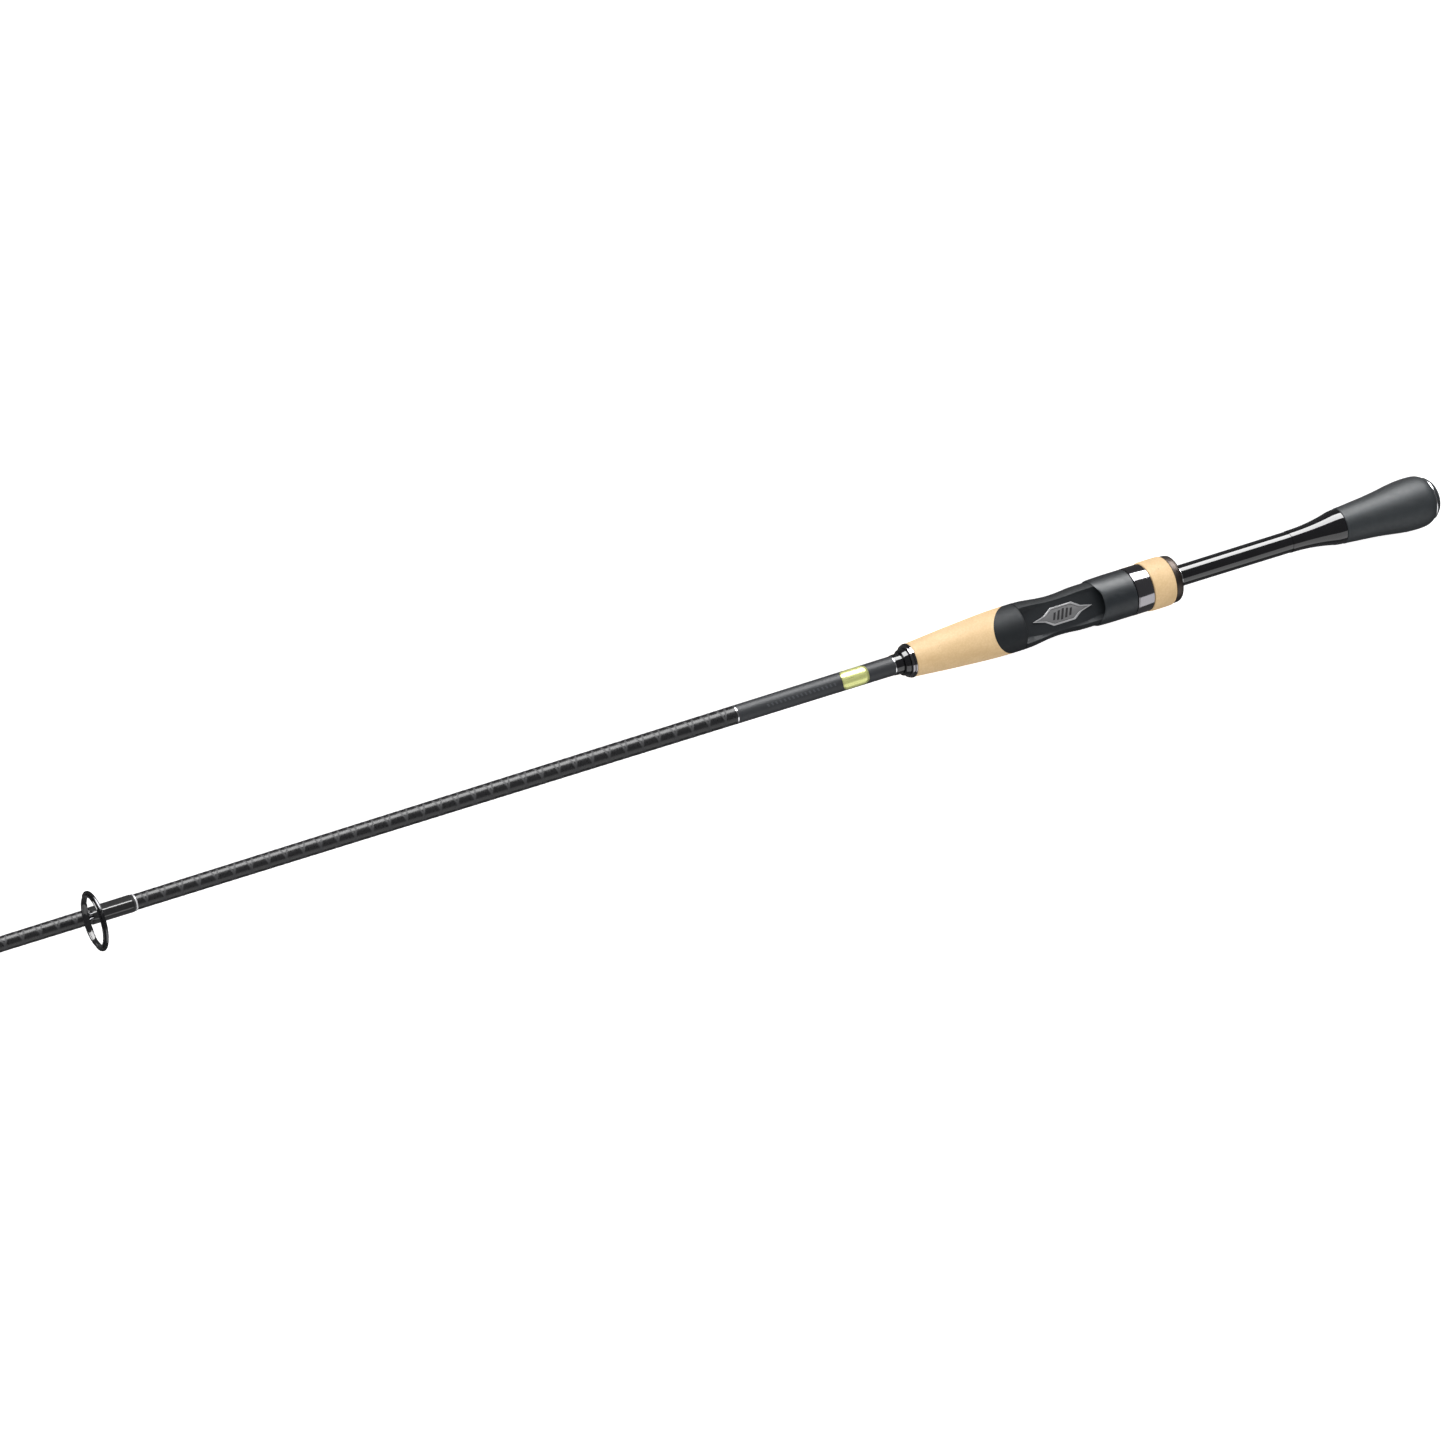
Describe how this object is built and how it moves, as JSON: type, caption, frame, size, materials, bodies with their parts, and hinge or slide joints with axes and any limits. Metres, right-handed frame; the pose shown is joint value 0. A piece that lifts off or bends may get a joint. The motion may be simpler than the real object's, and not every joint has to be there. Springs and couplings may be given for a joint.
{
  "type": "spinning rod",
  "caption": "Long tapered two-piece fishing rod with split grips, a reel seat with a screw-driven sliding hood, and ringed line guides that shrink towards the tip.",
  "frame": {"origin": "centre of the reel bed's flat face", "axes": "+X along the rod from the butt to the tip; +Z out of the reel bed, on the side that carries the guides"},
  "size_m": [2.1321, 0.0324, 0.0653],
  "materials": {
    "matte_black": "satin",
    "gloss_black": "gloss",
    "blank": "satin",
    "cork": "matte",
    "dark_chrome": "polished",
    "silver": "polished",
    "guide_metal": "polished",
    "ceramic": "gloss",
    "badge": "satin"
  },
  "bodies": {
    "butt_section": {"butt_cap": "matte_black", "butt_trim_ring": "silver", "rear_grip": "matte_black", "grip_flare": "gloss_black", "butt_blank": "blank", "reel_seat_body": "matte_black", "badge_plate": "badge", "fore_grip": "cork", "front_check": "dark_chrome", "front_collar_ring": "gloss_black", "gloss_collar": "gloss_black", "guide_1_frame": "guide_metal", "guide_1_ring": "ceramic", "guide_1_wrap": "gloss_black"},
    "moving_hood": {"moving_hood": "matte_black", "hood_insert": "matte_black"},
    "lock_nut": {"nut_sleeve": "matte_black", "nut_metal_band": "dark_chrome", "nut_cork_ring": "cork", "nut_rear_check": "dark_chrome"},
    "tip_section": {"tip_blank": "blank", "ferrule_wrap": "gloss_black", "tip_top_tube": "guide_metal", "tip_top_frame": "guide_metal", "tip_top_ring": "ceramic", "tip_top_wrap": "gloss_black", "guide_2_frame": "guide_metal", "guide_2_ring": "ceramic", "guide_2_wrap": "gloss_black", "guide_3_frame": "guide_metal", "guide_3_ring": "ceramic", "guide_3_wrap": "gloss_black", "guide_4_frame": "guide_metal", "guide_4_ring": "ceramic", "guide_4_wrap": "gloss_black", "guide_5_frame": "guide_metal", "guide_5_ring": "ceramic", "guide_5_wrap": "gloss_black", "guide_6_frame": "guide_metal", "guide_6_ring": "ceramic", "guide_6_wrap": "gloss_black", "guide_7_frame": "guide_metal", "guide_7_ring": "ceramic", "guide_7_wrap": "gloss_black", "guide_8_frame": "guide_metal", "guide_8_ring": "ceramic", "guide_8_wrap": "gloss_black"}
  },
  "joints": [
    {"name": "hood_slide", "type": "slide", "parent": "butt_section", "child": "moving_hood", "axis": [1, 0, 0], "range_m": [0, 0.012]},
    {"name": "nut_turn", "type": "hinge", "parent": "moving_hood", "child": "lock_nut", "pos_m": [-0.061, 0, -0.0073], "axis": [1, 0, 0], "range_deg": [0, 2881]},
    {"name": "tip_pull", "type": "slide", "parent": "butt_section", "child": "tip_section", "axis": [1, 0, 0], "range_m": [0, 0.07]}
  ],
  "couplings": [
    {"joint": "nut_turn", "follows": "hood_slide", "rad_per_m": 4188.8}
  ]
}
